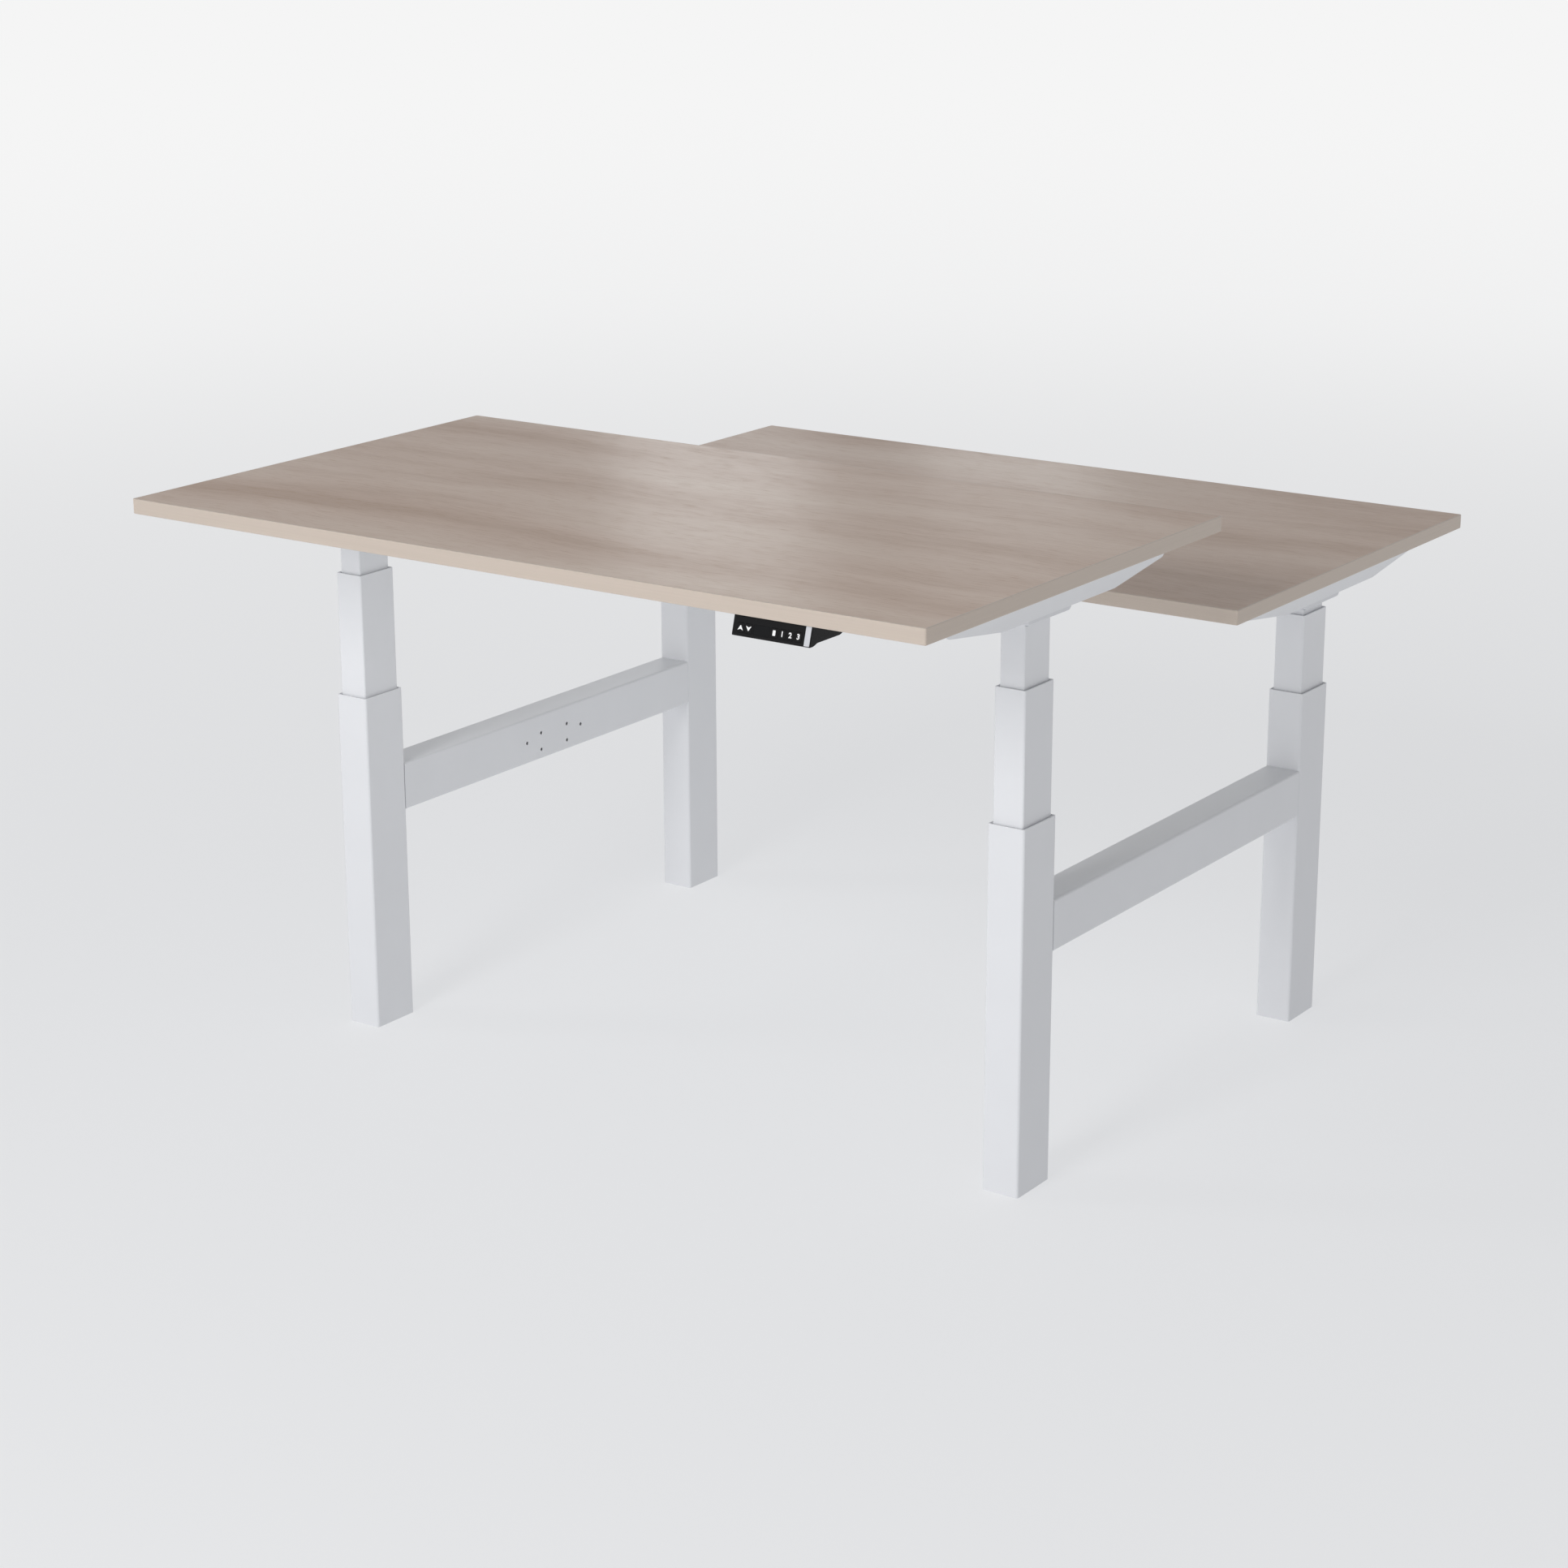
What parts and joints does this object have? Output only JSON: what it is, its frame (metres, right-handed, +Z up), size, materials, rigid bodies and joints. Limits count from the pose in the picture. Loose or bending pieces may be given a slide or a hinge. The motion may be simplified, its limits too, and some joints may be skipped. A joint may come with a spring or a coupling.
{
  "type": "height-adjustable benching desk",
  "caption": "Back-to-back benching desk with oak-look tops on telescopic electric lifting columns, joined by tie beams; each top rises and falls by itself from a handset.",
  "frame": {"origin": "on the floor, under the middle of the gap between the two tops", "axes": "+X along the tops to the near user's right, +Y from the near user to the far user, +Z up"},
  "size_m": [1.4, 1.66, 0.93],
  "materials": {
    "powder_coat": "satin white powder coat",
    "oak_laminate": "satin grey-brown oak laminate",
    "glide_plastic": "matt light grey",
    "black_plastic": "glossy black",
    "key_plastic": "satin black",
    "screw_steel": "plain steel",
    "motor_casting": "painted casting"
  },
  "bodies": {
    "bench_frame": {"near_left_outer_tube": "powder_coat", "near_left_lower_glide": "glide_plastic", "near_right_outer_tube": "powder_coat", "near_right_lower_glide": "glide_plastic", "far_left_outer_tube": "powder_coat", "far_left_lower_glide": "glide_plastic", "far_right_outer_tube": "powder_coat", "far_right_lower_glide": "glide_plastic", "left_tie_beam": "powder_coat", "right_tie_beam": "powder_coat"},
    "near_left_stage": {"near_left_middle_tube": "powder_coat", "near_left_upper_glide": "glide_plastic", "near_left_screw_sleeve": "screw_steel"},
    "near_right_stage": {"near_right_middle_tube": "powder_coat", "near_right_upper_glide": "glide_plastic", "near_right_screw_sleeve": "screw_steel"},
    "near_desk": {"near_top": "oak_laminate", "near_front_rail": "powder_coat", "near_rear_rail": "powder_coat", "near_control_box": "black_plastic", "near_handset": "black_plastic", "near_left_inner_tube": "powder_coat", "near_left_lift_screw": "screw_steel", "near_left_gear_motor": "motor_casting", "near_left_support_arm": "powder_coat", "near_right_inner_tube": "powder_coat", "near_right_lift_screw": "screw_steel", "near_right_gear_motor": "motor_casting", "near_right_support_arm": "powder_coat"},
    "near_up_key_button": {"near_up_key": "key_plastic"},
    "near_down_key_button": {"near_down_key": "key_plastic"},
    "near_memory_key_1_button": {"near_memory_key_1": "key_plastic"},
    "near_memory_key_2_button": {"near_memory_key_2": "key_plastic"},
    "near_memory_key_3_button": {"near_memory_key_3": "key_plastic"},
    "near_memory_key_4_button": {"near_memory_key_4": "key_plastic"},
    "far_left_stage": {"far_left_middle_tube": "powder_coat", "far_left_upper_glide": "glide_plastic", "far_left_screw_sleeve": "screw_steel"},
    "far_right_stage": {"far_right_middle_tube": "powder_coat", "far_right_upper_glide": "glide_plastic", "far_right_screw_sleeve": "screw_steel"},
    "far_desk": {"far_top": "oak_laminate", "far_front_rail": "powder_coat", "far_rear_rail": "powder_coat", "far_control_box": "black_plastic", "far_handset": "black_plastic", "far_left_inner_tube": "powder_coat", "far_left_lift_screw": "screw_steel", "far_left_gear_motor": "motor_casting", "far_left_support_arm": "powder_coat", "far_right_inner_tube": "powder_coat", "far_right_lift_screw": "screw_steel", "far_right_gear_motor": "motor_casting", "far_right_support_arm": "powder_coat"},
    "far_up_key_button": {"far_up_key": "key_plastic"},
    "far_down_key_button": {"far_down_key": "key_plastic"},
    "far_memory_key_1_button": {"far_memory_key_1": "key_plastic"},
    "far_memory_key_2_button": {"far_memory_key_2": "key_plastic"},
    "far_memory_key_3_button": {"far_memory_key_3": "key_plastic"},
    "far_memory_key_4_button": {"far_memory_key_4": "key_plastic"}
  },
  "joints": [
    {"name": "near_left_stage_lift", "type": "slide", "parent": "bench_frame", "child": "near_left_stage", "axis": [0, 0, 1], "range_m": [-0.1935, 0]},
    {"name": "near_right_stage_lift", "type": "slide", "parent": "bench_frame", "child": "near_right_stage", "axis": [0, 0, 1], "range_m": [-0.1935, 0]},
    {"name": "near_desk_lift", "type": "slide", "parent": "near_left_stage", "child": "near_desk", "axis": [0, 0, 1], "range_m": [-0.0865, 0.32]},
    {"name": "near_up_key_press", "type": "slide", "parent": "near_desk", "child": "near_up_key_button", "axis": [0, 0.9613, -0.2756], "range_m": [0, 0.001], "stiffness_N_per_m": 2000},
    {"name": "near_down_key_press", "type": "slide", "parent": "near_desk", "child": "near_down_key_button", "axis": [0, 0.9613, -0.2756], "range_m": [0, 0.001], "stiffness_N_per_m": 2000},
    {"name": "near_memory_key_1_press", "type": "slide", "parent": "near_desk", "child": "near_memory_key_1_button", "axis": [0, 0.9613, -0.2756], "range_m": [0, 0.001], "stiffness_N_per_m": 2000},
    {"name": "near_memory_key_2_press", "type": "slide", "parent": "near_desk", "child": "near_memory_key_2_button", "axis": [0, 0.9613, -0.2756], "range_m": [0, 0.001], "stiffness_N_per_m": 2000},
    {"name": "near_memory_key_3_press", "type": "slide", "parent": "near_desk", "child": "near_memory_key_3_button", "axis": [0, 0.9613, -0.2756], "range_m": [0, 0.001], "stiffness_N_per_m": 2000},
    {"name": "near_memory_key_4_press", "type": "slide", "parent": "near_desk", "child": "near_memory_key_4_button", "axis": [0, 0.9613, -0.2756], "range_m": [0, 0.001], "stiffness_N_per_m": 2000},
    {"name": "far_left_stage_lift", "type": "slide", "parent": "bench_frame", "child": "far_left_stage", "axis": [0, 0, 1], "range_m": [-0.1215, 0.072]},
    {"name": "far_right_stage_lift", "type": "slide", "parent": "bench_frame", "child": "far_right_stage", "axis": [0, 0, 1], "range_m": [-0.1215, 0.072]},
    {"name": "far_desk_lift", "type": "slide", "parent": "far_left_stage", "child": "far_desk", "axis": [0, 0, 1], "range_m": [-0.0045, 0.402]},
    {"name": "far_up_key_press", "type": "slide", "parent": "far_desk", "child": "far_up_key_button", "axis": [0, -0.9613, -0.2756], "range_m": [0, 0.001], "stiffness_N_per_m": 2000},
    {"name": "far_down_key_press", "type": "slide", "parent": "far_desk", "child": "far_down_key_button", "axis": [0, -0.9613, -0.2756], "range_m": [0, 0.001], "stiffness_N_per_m": 2000},
    {"name": "far_memory_key_1_press", "type": "slide", "parent": "far_desk", "child": "far_memory_key_1_button", "axis": [0, -0.9613, -0.2756], "range_m": [0, 0.001], "stiffness_N_per_m": 2000},
    {"name": "far_memory_key_2_press", "type": "slide", "parent": "far_desk", "child": "far_memory_key_2_button", "axis": [0, -0.9613, -0.2756], "range_m": [0, 0.001], "stiffness_N_per_m": 2000},
    {"name": "far_memory_key_3_press", "type": "slide", "parent": "far_desk", "child": "far_memory_key_3_button", "axis": [0, -0.9613, -0.2756], "range_m": [0, 0.001], "stiffness_N_per_m": 2000},
    {"name": "far_memory_key_4_press", "type": "slide", "parent": "far_desk", "child": "far_memory_key_4_button", "axis": [0, -0.9613, -0.2756], "range_m": [0, 0.001], "stiffness_N_per_m": 2000}
  ],
  "couplings": [
    {"joint": "near_right_stage_lift", "follows": "near_left_stage_lift", "ratio": 1},
    {"joint": "far_right_stage_lift", "follows": "far_left_stage_lift", "ratio": 1}
  ]
}
